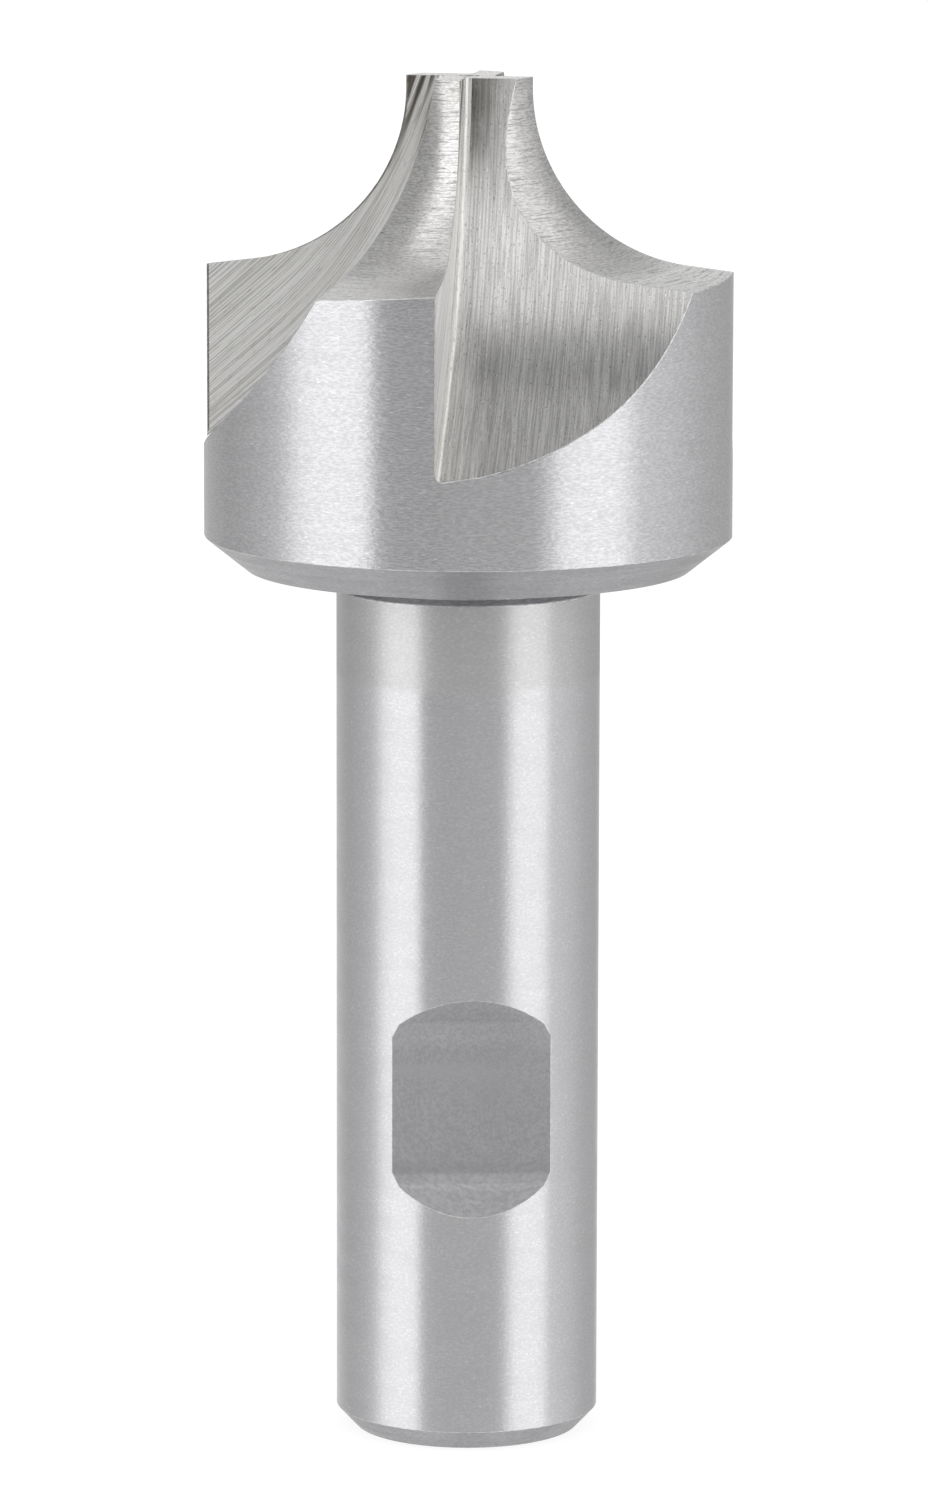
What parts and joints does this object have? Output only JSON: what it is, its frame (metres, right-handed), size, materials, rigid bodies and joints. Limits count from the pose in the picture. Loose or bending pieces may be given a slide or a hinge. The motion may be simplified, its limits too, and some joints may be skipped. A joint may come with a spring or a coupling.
{
  "type": "corner rounding end mill",
  "caption": "Corner rounding end mill with form-relieved concave teeth on a wide head, straight flutes and a cylindrical shank with a side-lock flat.",
  "frame": {"origin": "centre of the flat shank end, on the tool's axis", "axes": "+Z along the tool's axis towards the cutting tip, -Y out of the side-lock flat"},
  "size_m": [0.0382, 0.0382, 0.0988],
  "materials": {
    "tool_steel": "fine satin grind"
  },
  "bodies": {
    "root": {"end_mill": "tool_steel"}
  },
  "joints": []
}
